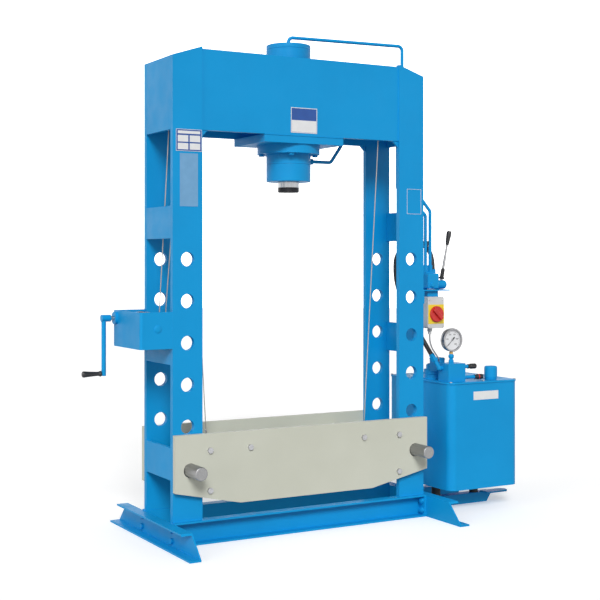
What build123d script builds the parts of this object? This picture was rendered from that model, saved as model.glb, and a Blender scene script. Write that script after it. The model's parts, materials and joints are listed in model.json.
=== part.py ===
"""H-frame workshop press with a hydraulic cylinder, a winch-raised bed and a floor-standing power unit.

Units are millimetres. X runs across the press, Y from front to back and Z up. The origin is on the floor,
midway between the uprights and on the cylinder's axis.
"""
from build123d import *
import math
import os

# ---- driving dimensions: frame ----
hole_pitch = 180.0  # pin hole spacing up the uprights
hole_count = 6
hole_low_z = 329.0  # lowest pin hole
hole_d = 62.0
pin_d = 58.0
bar_w = 140.0  # upright bar, across the press
bar_t = 25.0  # upright bar, front to back
post_x = 582.0  # centre of each upright
bar_gap = 268.0  # clear depth between the front and rear bars
bar_top_in = 2150.0  # top of a bar at its inner edge
bar_top_out = 2104.0  # top of a bar at its outer edge
tie_h = 140.0
tie_t = 18.0
tie_low_z = [280.0, 775.0, 1318.0]

# ---- driving dimensions: head ----
head_low_z = 1788.0
head_high_z = 2141.0
head_t = 20.0
head_recess = 6.0  # head plates sit this far behind the bars' faces
end_low_z = 1786.0
end_recess = 0.0  # end and tie plates sit this far inside the bars' outer edges
mount_plate_w = 410.0
mount_plate_t = 35.0
gusset = 30.0
gusset_t = 12.0

# ---- driving dimensions: base ----
beam_h = 104.0
beam_flange = 50.0
beam_web_t = 6.0
beam_flange_t = 8.0
beam_web_y = 137.0  # outer face of a base beam's web, from the middle
foot_h = 100.0
foot_flange = 52.0
foot_len_top = 720.0
foot_len_low = 900.0
base_bolt_d = 16.0
base_bolt_y = 166.0
base_bolt_z = [30.0, 74.0]

# ---- driving dimensions: bed ----
bed_t = 27.0
bed_gap = 2.0  # between a bar and the bed plate beside it
bed_high_z = 477.0
bed_end_low_z = 232.0
bed_mid_low_z = 166.0
bed_kink_x = 342.0
bed_bolts = [(490.0, 405.0), (490.0, 232.0), (295.0, 405.0)]
bed_bolt_d = 16.0
bed_spacer_d = 36.0
pin_out = 115.0  # how far a pin stands out in front of the bed

# ---- driving dimensions: cylinder ----
barrel_d = 206.0
bore_d = 160.0
barrel_top_z = 2218.0
barrel_low_z = 1587.0
gland_h = 80.0
flange_d = barrel_d + 84.0
flange_h = 40.0
flange_bolt_pcd = barrel_d + 44.0
flange_bolt_count = 4
flange_bolt_turn = 67.5  # angle of the first bolt from +X
flange_bolt_d = 16.0
ram_d = 100.0
ram_out = 27.0
nose_h = 22.0
nose_d = 98.0
piston_h = 60.0
run_clear = 0.06  # radial running clearance
seat_gap = 0.3  # between a round piece and what it rests on
pipe_d = 16.0

# ---- worked out from the driving dimensions ----
bar_in_y = bar_gap / 2
bar_out_y = bar_in_y + bar_t
bar_mid_y = bar_in_y + bar_t / 2
post_in_x = post_x - bar_w / 2
post_out_x = post_x + bar_w / 2
hole_z = [hole_low_z + k * hole_pitch for k in range(hole_count)]
flange_high_z = head_low_z - mount_plate_t
flange_low_z = flange_high_z - flange_h

os.makedirs("parts", exist_ok=True)


def save(part, name):
    """Label a finished piece and write it to its own STEP file."""
    part.label = name
    export_step(part, f"parts/{name}.step")


turn = {"x": (0, 90, 0), "y": (90, 0, 0), "z": (0, 0, 0)}


def round_bar(axis, first, last, u, v, radius, mode=Mode.ADD):
    """A cylinder along an axis from first to last, at (u, v) on the other two axes in X, Y, Z order."""
    middle = (first + last) / 2
    centre = {"x": (middle, u, v), "y": (u, middle, v), "z": (u, v, middle)}[axis]
    with Locations(Location(centre, turn[axis])):
        Cylinder(radius, abs(last - first), mode=mode)


def box_between(low, high, mode=Mode.ADD):
    """A box from its lowest corner to its highest."""
    with Locations(tuple((a + b) / 2 for a, b in zip(low, high))):
        Box(*[b - a for a, b in zip(low, high)], mode=mode)


def hex_bar(axis, first, last, u, v, across):
    """A hexagonal bar along an axis from first to last, measured across its flats."""
    planes = {
        "x": Plane((first, u, v), x_dir=(0, 1, 0), z_dir=(1, 0, 0)),
        "y": Plane((u, first, v), x_dir=(1, 0, 0), z_dir=(0, 1, 0)),
        "z": Plane((u, v, first), x_dir=(1, 0, 0), z_dir=(0, 0, 1)),
    }
    with BuildSketch(planes[axis]) as hexagon:
        RegularPolygon(across / 2, 6, major_radius=False)
    extrude(hexagon.sketch, amount=last - first, dir=planes[axis].z_dir)


# ==== frame ====
side_names = {-1: "left", 1: "right"}
face_names = {-1: "front", 1: "rear"}


def make_uprights(side):
    """The front and rear bars of one side, with their rows of pin holes and slanted tops."""
    with BuildPart() as uprights:
        with BuildSketch(*[Plane.XZ.offset(-face * bar_mid_y) for face in face_names]):
            with BuildLine():
                Polyline(
                    (side * post_in_x, beam_h),
                    (side * post_out_x, beam_h),
                    (side * post_out_x, bar_top_out),
                    (side * post_in_x, bar_top_in),
                    close=True,
                )
            make_face()
            with Locations(*[(side * post_x, z) for z in hole_z]):
                Circle(hole_d / 2, mode=Mode.SUBTRACT)
        extrude(amount=bar_t / 2, both=True)
    return uprights.part


for side in side_names:
    save(make_uprights(side), f"{side_names[side]}_uprights")

# ==== head ====
head_out_y = bar_out_y - head_recess
head_in_y = head_out_y - head_t
with BuildPart() as head_plates:
    for face in face_names:
        middle = Plane.XZ.offset(-face * (head_out_y + head_in_y) / 2)
        with BuildSketch(middle):
            with Locations((0, (head_low_z + head_high_z) / 2)):
                Rectangle(2 * post_in_x, head_high_z - head_low_z)
        extrude(amount=head_t / 2, both=True)
        for side in side_names:
            with BuildSketch(middle):
                with BuildLine():
                    Polyline(
                        (side * post_in_x, head_low_z),
                        (side * (post_in_x - gusset), head_low_z),
                        (side * post_in_x, head_low_z - gusset),
                        close=True,
                    )
                make_face()
            extrude(amount=gusset_t / 2, both=True)
save(head_plates.part, "head_plates")

with BuildPart() as side_plates:
    slope = (bar_top_in - bar_top_out) / bar_w
    outer = post_out_x - end_recess
    for side in side_names:
        for low_z in tie_low_z:
            with Locations((side * (outer - tie_t / 2), 0, low_z + tie_h / 2)):
                Box(tie_t, bar_gap, tie_h)
        with BuildSketch(Plane.XZ):
            with BuildLine():
                Polyline(
                    (side * outer, end_low_z),
                    (side * (outer - tie_t), end_low_z),
                    (side * (outer - tie_t), bar_top_out + slope * (tie_t + end_recess)),
                    (side * outer, bar_top_out + slope * end_recess),
                    close=True,
                )
            make_face()
        extrude(amount=bar_gap / 2, both=True)
save(side_plates.part, "side_plates")

with BuildPart() as mount_plate:
    with Locations((0, 0, flange_high_z + mount_plate_t / 2)):
        Box(mount_plate_w, 2 * head_out_y, mount_plate_t)
    with Locations((0, 0, flange_high_z)):
        Cylinder(barrel_d / 2 + seat_gap, 4 * mount_plate_t, mode=Mode.SUBTRACT)
    with Locations((0, 0, flange_high_z + mount_plate_t / 2)):
        with PolarLocations(flange_bolt_pcd / 2, flange_bolt_count, start_angle=flange_bolt_turn):
            Cylinder(flange_bolt_d / 2, mount_plate_t, mode=Mode.SUBTRACT)
save(mount_plate.part, "cylinder_mount_plate")

# ==== base ====
beam_half = post_out_x
beam_tip_y = beam_web_y + beam_flange - beam_web_t


def channel_outline(web_u, tip_u, height, web_t, flange_t):
    """A channel section from the web's back at web_u to the flange tips at tip_u, as points (u, z)."""
    step = web_t if tip_u > web_u else -web_t
    return [
        (web_u, 0),
        (tip_u, 0),
        (tip_u, flange_t),
        (web_u + step, flange_t),
        (web_u + step, height - flange_t),
        (tip_u, height - flange_t),
        (tip_u, height),
        (web_u, height),
    ]


beam_web_in_y = beam_web_y - beam_web_t
beam_end_t = 10.0
with BuildPart() as base_beams:
    for face in face_names:
        with BuildSketch(Plane.YZ):
            with BuildLine():
                outline = channel_outline(beam_web_in_y, beam_tip_y, beam_h, beam_web_t, beam_flange_t)
                Polyline(*[(face * u, z) for u, z in outline], close=True)
            make_face()
        extrude(amount=beam_half - beam_end_t, both=True)
        for side in side_names:
            end_x = side * (beam_half - beam_end_t / 2)
            with Locations((end_x, face * (beam_web_in_y + beam_tip_y) / 2, beam_h / 2)):
                Box(beam_end_t, beam_tip_y - beam_web_in_y, beam_h)
            for z in base_bolt_z:
                with Locations(Location((side * beam_half, face * base_bolt_y, z), turn["x"])):
                    Cylinder(base_bolt_d / 2, 4 * beam_end_t, mode=Mode.SUBTRACT)
save(base_beams.part, "base_beams")

foot_web_t = beam_web_t
with BuildPart() as feet:
    for side in side_names:
        with BuildSketch(Plane.XZ):
            with BuildLine():
                tip_x = post_out_x + foot_flange
                outline = channel_outline(post_out_x, tip_x, foot_h, foot_web_t, beam_flange_t)
                Polyline(*[(side * u, z) for u, z in outline], close=True)
            make_face()
        extrude(amount=foot_len_low / 2, both=True)
    with BuildSketch(Plane.YZ):
        with BuildLine():
            Polyline(
                (-foot_len_low / 2, 0),
                (foot_len_low / 2, 0),
                (foot_len_low / 2, beam_flange_t),
                (foot_len_top / 2, foot_h),
                (-foot_len_top / 2, foot_h),
                (-foot_len_low / 2, beam_flange_t),
                close=True,
            )
        make_face()
    extrude(amount=2 * post_out_x, both=True, mode=Mode.INTERSECT)
    for side in side_names:
        for face in face_names:
            for z in base_bolt_z:
                with Locations(Location((side * post_out_x, face * base_bolt_y, z), turn["x"])):
                    Cylinder(base_bolt_d / 2, 4 * foot_web_t, mode=Mode.SUBTRACT)
save(feet.part, "feet")


base_head_h = 10.0
base_nut_h = 13.0
base_across = 24.0
with BuildPart() as base_bolts:
    for side in side_names:
        for face in face_names:
            for z in base_bolt_z:
                y = face * base_bolt_y
                head_x = side * (post_out_x + foot_web_t)
                nut_x = side * (post_out_x - beam_end_t)
                hex_bar("x", head_x, head_x + side * base_head_h, y, z, base_across)
                round_bar("x", head_x, nut_x - side * (base_nut_h + 4), y, z, base_bolt_d / 2)
                hex_bar("x", nut_x, nut_x - side * base_nut_h, y, z, base_across)
save(base_bolts.part, "base_bolts")

# ==== bed ====
pin_z = hole_low_z - (hole_d - pin_d) / 2 + seat_gap
bed_hole_z = pin_z - (hole_d - pin_d) / 2 + seat_gap
bed_half = post_out_x  # the bed ends flush with the uprights
bed_in_y = bar_out_y + bed_gap
bed_out_y = bed_in_y + bed_t
rope_bar_d = 20.0
rope_bar_z = 420.0
left_rope_bar_x = -420.0
right_rope_bar_x = 342.0
bed_head_h = 10.0
bed_nut_h = 13.0
bed_across = 24.0

with BuildPart() as bed_plates:
    with BuildSketch(*[Plane.XZ.offset(-face * (bed_in_y + bed_out_y) / 2) for face in face_names]):
        with BuildLine():
            Polyline(
                (-bed_half, bed_high_z),
                (bed_half, bed_high_z),
                (bed_half, bed_end_low_z),
                (bed_kink_x, bed_mid_low_z),
                (-bed_kink_x, bed_mid_low_z),
                (-bed_half, bed_end_low_z),
                close=True,
            )
        make_face()
        with Locations(*[(side * post_x, bed_hole_z) for side in side_names]):
            Circle(hole_d / 2, mode=Mode.SUBTRACT)
        with Locations(*[(side * x, z) for side in side_names for x, z in bed_bolts]):
            Circle(bed_bolt_d / 2, mode=Mode.SUBTRACT)
    extrude(amount=bed_t / 2, both=True)
save(bed_plates.part, "bed_plates")

with BuildPart() as bed_spacers:
    for side in side_names:
        for x, z in bed_bolts:
            round_bar("y", -bed_in_y, bed_in_y, side * x, z, bed_spacer_d / 2)
            round_bar("y", -bed_in_y, bed_in_y, side * x, z, bed_bolt_d / 2, mode=Mode.SUBTRACT)
    for x in (left_rope_bar_x, right_rope_bar_x):
        round_bar("y", -bed_in_y, bed_in_y, x, rope_bar_z, rope_bar_d / 2)
save(bed_spacers.part, "bed_spacers")

with BuildPart() as bed_bolt_set:
    for side in side_names:
        for x, z in bed_bolts:
            round_bar("y", -bed_out_y, bed_out_y + bed_nut_h + 4, side * x, z, bed_bolt_d / 2)
            hex_bar("y", -bed_out_y, -bed_out_y - bed_head_h, side * x, z, bed_across)
            hex_bar("y", bed_out_y, bed_out_y + bed_nut_h, side * x, z, bed_across)
save(bed_bolt_set.part, "bed_bolts")

pin_chamfer = 3.0
pin_back = 20.0
for side in side_names:
    with BuildPart() as pin:
        round_bar("y", -bed_out_y - pin_out, bed_out_y + pin_back, side * post_x, pin_z, pin_d / 2)
        chamfer(pin.edges().filter_by(GeomType.CIRCLE), pin_chamfer)
    save(pin.part, f"{side_names[side]}_pin")

# ==== cylinder and ram ====
cap_h = 22.0
cap_spigot = 10.0
boss_d = 52.0
boss_h = 10.0
port_d = 10.0
side_port_z = 1686.0
gland_high_z = barrel_low_z + gland_h
tube_high_z = barrel_top_z - cap_h
gland_spigot = 12.0
seal_w = 8.0
seal_depth = 6.0

with BuildPart() as barrel:
    round_bar("z", gland_high_z, tube_high_z, 0, 0, barrel_d / 2)
    round_bar("z", flange_low_z, flange_high_z, 0, 0, flange_d / 2)
    round_bar("z", gland_high_z, tube_high_z, 0, 0, bore_d / 2, mode=Mode.SUBTRACT)
    round_bar("x", 0, barrel_d, 0, side_port_z, port_d / 2, mode=Mode.SUBTRACT)
    with Locations((0, 0, (flange_low_z + flange_high_z) / 2)):
        with PolarLocations(flange_bolt_pcd / 2, flange_bolt_count, start_angle=flange_bolt_turn):
            Cylinder(flange_bolt_d / 2, flange_h, mode=Mode.SUBTRACT)
save(barrel.part, "cylinder_barrel")

with BuildPart() as end_cap:
    round_bar("z", tube_high_z, barrel_top_z, 0, 0, barrel_d / 2)
    round_bar("z", tube_high_z - cap_spigot, tube_high_z, 0, 0, bore_d / 2 - seat_gap)
    round_bar("z", barrel_top_z, barrel_top_z + boss_h, 0, 0, boss_d / 2)
    round_bar("z", tube_high_z - cap_spigot, barrel_top_z + boss_h, 0, 0, port_d / 2, mode=Mode.SUBTRACT)
save(end_cap.part, "cylinder_end_cap")

seal_z = barrel_low_z + gland_h / 2
with BuildPart() as gland:
    round_bar("z", barrel_low_z, gland_high_z, 0, 0, barrel_d / 2)
    round_bar("z", gland_high_z, gland_high_z + gland_spigot, 0, 0, bore_d / 2 - seat_gap)
    round_bar("z", barrel_low_z, gland_high_z + gland_spigot, 0, 0, ram_d / 2 + run_clear, mode=Mode.SUBTRACT)
    seal_r = ram_d / 2 + seal_depth + seat_gap
    round_bar("z", seal_z - seal_w / 2, seal_z + seal_w / 2, 0, 0, seal_r, mode=Mode.SUBTRACT)
save(gland.part, "rod_gland")

with BuildPart() as rod_seal:
    low = seal_z - seal_w / 2 + seat_gap
    high = seal_z + seal_w / 2 - seat_gap
    round_bar("z", low, high, 0, 0, ram_d / 2 + seal_depth)
    round_bar("z", low, high, 0, 0, ram_d / 2 + seat_gap, mode=Mode.SUBTRACT)
save(rod_seal.part, "rod_seal")

flange_head_h = 10.0
flange_nut_h = 13.0
flange_across = 24.0
with BuildPart() as flange_bolts:
    for k in range(flange_bolt_count):
        angle = math.radians(flange_bolt_turn + k * 360 / flange_bolt_count)
        x = flange_bolt_pcd / 2 * math.cos(angle)
        y = flange_bolt_pcd / 2 * math.sin(angle)
        hex_bar("z", flange_low_z, flange_low_z - flange_head_h, x, y, flange_across)
        round_bar("z", flange_low_z, head_low_z + flange_nut_h + 4, x, y, flange_bolt_d / 2)
        hex_bar("z", head_low_z, head_low_z + flange_nut_h, x, y, flange_across)
save(flange_bolts.part, "flange_bolts")

rest_gap = 2.0  # above the piston when the ram is fully up
piston_high_z = tube_high_z - cap_spigot - rest_gap
piston_low_z = piston_high_z - piston_h
rod_low_z = barrel_low_z - ram_out
with BuildPart() as ram_rod:
    round_bar("z", rod_low_z, piston_low_z, 0, 0, ram_d / 2)
save(ram_rod.part, "ram_rod")

piston_seal_z = (piston_low_z + piston_high_z) / 2
with BuildPart() as piston:
    round_bar("z", piston_low_z, piston_high_z, 0, 0, bore_d / 2 - run_clear)
    low = piston_seal_z - seal_w / 2
    high = piston_seal_z + seal_w / 2
    round_bar("z", low, high, 0, 0, bore_d / 2, mode=Mode.SUBTRACT)
    round_bar("z", low, high, 0, 0, bore_d / 2 - seal_depth)
save(piston.part, "ram_piston")

with BuildPart() as piston_seal:
    round_bar("z", low + seat_gap, high - seat_gap, 0, 0, bore_d / 2 - seat_gap)
    round_bar("z", low, high, 0, 0, bore_d / 2 - seal_depth, mode=Mode.SUBTRACT)
save(piston_seal.part, "piston_seal")

nose_chamfer = 2.0
with BuildPart() as nose:
    round_bar("z", rod_low_z - nose_h, rod_low_z, 0, 0, nose_d / 2)
    chamfer(nose.edges().group_by(Axis.Z)[0], nose_chamfer)
save(nose.part, "ram_nose")

# ==== winch ====
winch_out_x = -post_out_x - 148.0
winch_low_z = 846.0
winch_high_z = 1004.0
winch_wall = 6.0
drum_x = winch_out_x + 80.0
drum_z = 932.0
drum_core_r = 62.0
drum_flange_r = 69.0
drum_flange_t = 4.0
drum_bay = 62.0  # room for one rope's turns
drum_front_y = -101.0
shaft_d = 20.0
crank_y = 121.0
worm_drop = 38.0  # crank shaft above the drum shaft
wheel_teeth = 26
wheel_tip_r = 26.0
wheel_w = 22.0
tooth_depth = 3.0
worm_r = 11.5
worm_len = 36.0
crank_shaft_d = 18.0
crank_boss_d = 54.0
crank_boss_t = 12.0
crank_hub_d = 30.0
crank_hub_in_x = winch_out_x - 28.0
crank_hub_out_x = winch_out_x - 69.0
crank_arm_d = 20.0
crank_arm_x = winch_out_x - 58.0
crank_radius = 242.0
grip_len = 88.0
grip_d_in = 15.0
grip_d_out = 28.0
grip_pin_d = 9.0
rope_d = 5.0
front_bay_y = drum_front_y + drum_flange_t + drum_bay / 2
rear_rope_y = front_bay_y + drum_flange_t + drum_bay
front_rope_y = -112.0  # where the front rope crosses the head, clear of the cylinder
crank_z = drum_z + worm_drop
wall_out_y = bar_out_y
wall_in_y = wall_out_y - winch_wall
bush_d = 28.0

with BuildPart() as winch_housing:
    box_between((winch_out_x, -wall_out_y, winch_low_z), (-post_out_x, wall_out_y, winch_high_z))
    fillet(winch_housing.edges().filter_by(Axis.Z).group_by(Axis.X)[0], 2 * winch_wall)
    hollow = (winch_out_x + winch_wall, -wall_in_y, winch_low_z)
    box_between(hollow, (-post_out_x, wall_in_y, winch_high_z), mode=Mode.SUBTRACT)
    round_bar("x", winch_out_x - crank_boss_t, winch_out_x + winch_wall, crank_y, crank_z, crank_boss_d / 2)
    bore_r = crank_shaft_d / 2 + run_clear
    round_bar("x", winch_out_x - crank_boss_t, -post_out_x, crank_y, crank_z, bore_r, mode=Mode.SUBTRACT)
    round_bar("y", -wall_out_y, wall_out_y, drum_x, drum_z, bush_d / 2, mode=Mode.SUBTRACT)
    bearing_x = drum_x + worm_len / 2 + 10
    box_between((bearing_x, crank_y - 25, crank_z - 12), (bearing_x + 10, wall_in_y, crank_z + 20))
    round_bar("x", bearing_x, bearing_x + 10, crank_y, crank_z, bore_r, mode=Mode.SUBTRACT)
save(winch_housing.part, "winch_housing")

with BuildPart() as winch_bushes:
    for face in face_names:
        round_bar("y", face * wall_in_y, face * wall_out_y, drum_x, drum_z, bush_d / 2)
    bush_bore_r = shaft_d / 2 + run_clear
    round_bar("y", -wall_out_y, wall_out_y, drum_x, drum_z, bush_bore_r, mode=Mode.SUBTRACT)
save(winch_bushes.part, "winch_bushes")

with BuildPart() as winch_drum:
    round_bar("y", -wall_out_y, wall_out_y, drum_x, drum_z, shaft_d / 2)
    core_end_y = drum_front_y + 3 * drum_flange_t + 2 * drum_bay
    round_bar("y", drum_front_y, core_end_y, drum_x, drum_z, drum_core_r)
    for k in range(3):
        low_y = drum_front_y + k * (drum_flange_t + drum_bay)
        round_bar("y", low_y, low_y + drum_flange_t, drum_x, drum_z, drum_flange_r)
save(winch_drum.part, "winch_drum")

with BuildPart() as rope_windings:
    for k in range(2):
        low_y = drum_front_y + drum_flange_t + k * (drum_flange_t + drum_bay)
        round_bar("y", low_y + 2, low_y + drum_bay - 2, drum_x, drum_z, drum_core_r + rope_d)
    round_bar("y", -wall_in_y, wall_in_y, drum_x, drum_z, drum_core_r, mode=Mode.SUBTRACT)
save(rope_windings.part, "rope_windings")

with BuildPart() as worm_wheel:
    wheel_plane = Plane((drum_x, crank_y, drum_z), x_dir=(1, 0, 0), z_dir=(0, 1, 0))
    with BuildSketch(wheel_plane):
        Circle(wheel_tip_r)
        Circle(shaft_d / 2, mode=Mode.SUBTRACT)
        with PolarLocations(wheel_tip_r, wheel_teeth):
            Rectangle(2 * tooth_depth, math.pi * wheel_tip_r / wheel_teeth, mode=Mode.SUBTRACT)
    extrude(amount=wheel_w / 2, both=True)
save(worm_wheel.part, "worm_wheel")

worm_pitch = 2 * math.pi * (wheel_tip_r - tooth_depth / 2) / wheel_teeth
with BuildPart() as crank_worm:
    round_bar("x", crank_hub_in_x, bearing_x + 12, crank_y, crank_z, crank_shaft_d / 2)
    round_bar("x", drum_x - worm_len / 2, drum_x + worm_len / 2, crank_y, crank_z, worm_r)
    groove_count = int(worm_len / worm_pitch)
    for k in range(groove_count):
        x = drum_x + (k - (groove_count - 1) / 2) * worm_pitch
        round_bar("x", x - worm_pitch / 4, x + worm_pitch / 4, crank_y, crank_z, worm_r, mode=Mode.SUBTRACT)
        round_bar("x", x - worm_pitch / 4, x + worm_pitch / 4, crank_y, crank_z, worm_r - tooth_depth)
save(crank_worm.part, "crank_worm")

arm_low_z = crank_z - crank_radius - crank_arm_d / 2
with BuildPart() as crank_arm:
    round_bar("x", crank_hub_out_x, crank_hub_in_x, crank_y, crank_z, crank_hub_d / 2)
    round_bar("z", arm_low_z, crank_z, crank_arm_x, crank_y, crank_arm_d / 2)
    pin_end_x = crank_arm_x - crank_arm_d / 2 - grip_len + 6
    round_bar("x", pin_end_x, crank_arm_x, crank_y, crank_z - crank_radius, grip_pin_d / 2)
save(crank_arm.part, "crank_arm")

grip_in_x = crank_arm_x - crank_arm_d / 2 - 1
with BuildPart() as crank_grip:
    with BuildSketch(Plane.XZ.offset(-crank_y)):
        with BuildLine():
            base = crank_z - crank_radius
            Polyline(
                (grip_in_x, base),
                (grip_in_x, base + grip_d_in / 2),
                (grip_in_x - 0.8 * grip_len, base + grip_d_out / 2),
                (grip_in_x - grip_len, base + 0.4 * grip_d_out),
                (grip_in_x - grip_len, base),
                close=True,
            )
        make_face()
    revolve(axis=Axis((grip_in_x, crank_y, base), (1, 0, 0)))
    grip_bore_end = pin_end_x - 1
    round_bar("x", grip_bore_end, grip_in_x, crank_y, base, grip_pin_d / 2 + run_clear, mode=Mode.SUBTRACT)
save(crank_grip.part, "crank_grip")

# ==== head pulleys and ropes ====
pulley_r = 50.0  # to the rope's centre
pulley_rim_r = 56.0
pulley_w = 14.0
pulley_z = 1870.0
pulley_bore_r = 8.0
left_pulley_x = -550.0
right_pulley_x = 375.0
pulleys = {
    "left_rear_pulley": (left_pulley_x, rear_rope_y, pulley_z),
    "left_front_pulley": (left_pulley_x, front_rope_y, pulley_z),
    "right_pulley": (right_pulley_x, front_rope_y, pulley_z),
}
for name, (x, y, z) in pulleys.items():
    with BuildPart() as pulley:
        round_bar("y", y - pulley_w / 2, y + pulley_w / 2, x, z, pulley_rim_r)
        with BuildSketch(Plane.XY.offset(z)):
            with Locations((x + pulley_rim_r, y)):
                Rectangle(2 * (pulley_rim_r - pulley_r + rope_d / 2 + 1), rope_d + 2 * seat_gap)
        revolve(axis=Axis((x, y, z), (0, 1, 0)), mode=Mode.SUBTRACT)
        round_bar("y", y - pulley_w, y + pulley_w, x, z, pulley_bore_r + run_clear, mode=Mode.SUBTRACT)
    save(pulley.part, name)

pulley_cheek_t = 6.0
pulley_side_gap = 1.0
with BuildPart() as pulley_brackets:
    for x, y, z in pulleys.values():
        if y == front_rope_y:
            round_bar("y", -head_in_y, y + pulley_w / 2 + pulley_side_gap + pulley_cheek_t, x, z, pulley_bore_r)
        else:
            round_bar("y", y - pulley_w / 2 - 7, head_in_y, x, z, pulley_bore_r)
save(pulley_brackets.part, "pulley_axles")


eye_r = rope_bar_d / 2 + rope_d / 2 + 4
rope_hang_z = rope_bar_z + eye_r
tangent_x = drum_x + drum_core_r + 1.5 * rope_d + seat_gap


def make_rope(points, radii, eye_x, eye_y):
    """One rope from the drum over its pulleys to the eye that hangs round the bed's rope bar."""
    with BuildPart() as rope:
        with BuildLine() as path:
            FilletPolyline(*points, radius=radii)
        with BuildSketch(Plane(origin=path.line @ 0, z_dir=path.line % 0)):
            Circle(rope_d / 2)
        sweep(path=path.line)
        with Locations(Location((eye_x, eye_y, rope_bar_z), turn["y"])):
            Torus(eye_r, rope_d / 2)
    return rope.part


rope_top_z = pulley_z + pulley_r
left_low_x = left_pulley_x - pulley_r
rope_bends = [20.0, pulley_r - 0.1, pulley_r - 0.1, 20.0]


def rope_route(drum_y, pulley_y, fall_x, eye_x):
    """The corner points of a rope: off the drum, over the head and down to its eye."""
    return [
        (tangent_x, drum_y, drum_z),
        (left_low_x, pulley_y, pulley_z - pulley_r),
        (left_low_x, pulley_y, rope_top_z),
        (fall_x, pulley_y, rope_top_z),
        (fall_x, pulley_y, pulley_z - pulley_r),
        (eye_x, pulley_y, rope_hang_z),
    ]


left_fall_x = left_pulley_x + pulley_r
right_fall_x = right_pulley_x + pulley_r
left_route = rope_route(rear_rope_y, rear_rope_y, left_fall_x, left_rope_bar_x)
right_route = rope_route(front_bay_y, front_rope_y, right_fall_x, right_rope_bar_x)
left_rope = make_rope(left_route, rope_bends, left_rope_bar_x, rear_rope_y)
right_rope = make_rope(right_route, rope_bends, right_rope_bar_x, front_rope_y)
save(Compound(children=[left_rope, right_rope]), "bed_ropes")

# ==== oil pipes ====
pipe_top_z = barrel_top_z + 40.0
pipe_bend = 22.0
pipe_long_x = post_out_x + 80.0  # outer of the two drops to the valve
pipe_short_x = post_out_x + 53.0
pipe_drop_y = -100.0
valve_top_z = 1160.0
collar_h = 40.0
collar_across = 22.0
side_nut_across = 27.0
side_nut_len = 25.0
pipe_foot_z = valve_top_z + collar_h


def make_pipe(points, diameter, bend):
    """A round pipe along straight runs joined by arcs."""
    with BuildPart() as pipe:
        with BuildLine() as path:
            FilletPolyline(*points, radius=bend)
        with BuildSketch(Plane(origin=path.line @ 0, z_dir=path.line % 0)):
            Circle(diameter / 2)
        sweep(path=path.line)
    return pipe.part


top_pipe = make_pipe(
    [
        (0, 0, barrel_top_z + boss_h),
        (0, 0, pipe_top_z),
        (595, -60, pipe_top_z),
        (595, -60, 1650),
        (pipe_long_x, pipe_drop_y, 1463),
        (pipe_long_x, pipe_drop_y, pipe_foot_z),
    ],
    pipe_d,
    pipe_bend,
)
side_pipe = make_pipe(
    [
        (barrel_d / 2 + side_nut_len, 0, side_port_z),
        (228, 0, side_port_z),
        (286, 0, 1767),
        (290, -10, 1860),
        (560, -72, 1860),
        (560, -72, 1570),
        (pipe_short_x, pipe_drop_y, 1443),
        (pipe_short_x, pipe_drop_y, pipe_foot_z),
    ],
    pipe_d,
    pipe_bend,
)
save(Compound(children=[top_pipe, side_pipe]), "oil_pipes")

clamp_z = 1305.0
clamp_half_h = 12.0
clamp_cut_past = 8.0
with BuildPart() as pipe_fittings:
    hex_bar("x", barrel_d / 2, barrel_d / 2 + side_nut_len, 0, side_port_z, side_nut_across)
    for x in (pipe_short_x, pipe_long_x):
        hex_bar("z", valve_top_z, pipe_foot_z, x, pipe_drop_y, collar_across)
save(pipe_fittings.part, "pipe_fittings")

with BuildPart() as pipe_clamp:
    clamp_low = (pipe_short_x - pipe_d, pipe_drop_y - pipe_d, clamp_z - clamp_half_h)
    box_between(clamp_low, (pipe_long_x + pipe_d, pipe_drop_y + pipe_d, clamp_z + clamp_half_h))
    cut_low = clamp_z - clamp_half_h - clamp_cut_past
    cut_high = clamp_z + clamp_half_h + clamp_cut_past
    for x in (pipe_short_x, pipe_long_x):
        round_bar("z", cut_low, cut_high, x, pipe_drop_y, pipe_d / 2 + seat_gap, mode=Mode.SUBTRACT)
save(pipe_clamp.part, "pipe_clamp")

# ==== control valve ====
valve_low_z = 1085.0
valve_x = (post_out_x + 38.0, post_out_x + 128.0)
valve_y = (-145.0, -50.0)
valve_round = 10.0
stand_h = 3.0  # spacers between the shelf and the valve
stand_r = 10.0
stand_x = (post_out_x + 53.0, post_out_x + 123.0)
stand_y = -97.0
shelf_t = 6.0
shelf_z = valve_low_z - stand_h - shelf_t
shelf_end_x = post_out_x + 158.0
shelf_back_y = -40.0
shelf_leg_h = 60.0
hanger_low = (post_out_x + 38.0, -140.0)
hanger_high = (post_out_x + 100.0, -85.0)
hanger_h = 28.0  # block between the valve shelf and the switch box
lever_x = post_out_x + 143.0
lever_y = -100.0
lever_pivot_z = 1105.0
lever_hub_r = 12.5
lever_boot_z = 1165.0
lever_boot_r = 8.0
lever_rod_d = 8.0
lever_knob_z = (1306.0, 1374.0)
lever_knob_d = 22.0
lever_knob_round = 6.0
lever_lean = 11.5  # degrees from upright at rest
lever_gap = 1.0
lever_pin_d = 8.0
fork_in = 14.0  # half the room between the fork's two plates
fork_out = 22.0
fork_h = 50.0
fork_reach = 22.0  # past the lever's pivot

with BuildPart() as valve_bracket:
    box_between((post_out_x, -bar_out_y, shelf_z), (shelf_end_x, shelf_back_y, shelf_z + shelf_t))
    box_between((post_out_x, -bar_out_y, shelf_z - shelf_leg_h), (post_out_x + shelf_t, -bar_in_y, shelf_z))
    box_between((*hanger_low, shelf_z - hanger_h), (*hanger_high, shelf_z))
    for x in stand_x:
        round_bar("z", shelf_z + shelf_t, valve_low_z, x, stand_y, stand_r)
save(valve_bracket.part, "valve_bracket")

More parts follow.
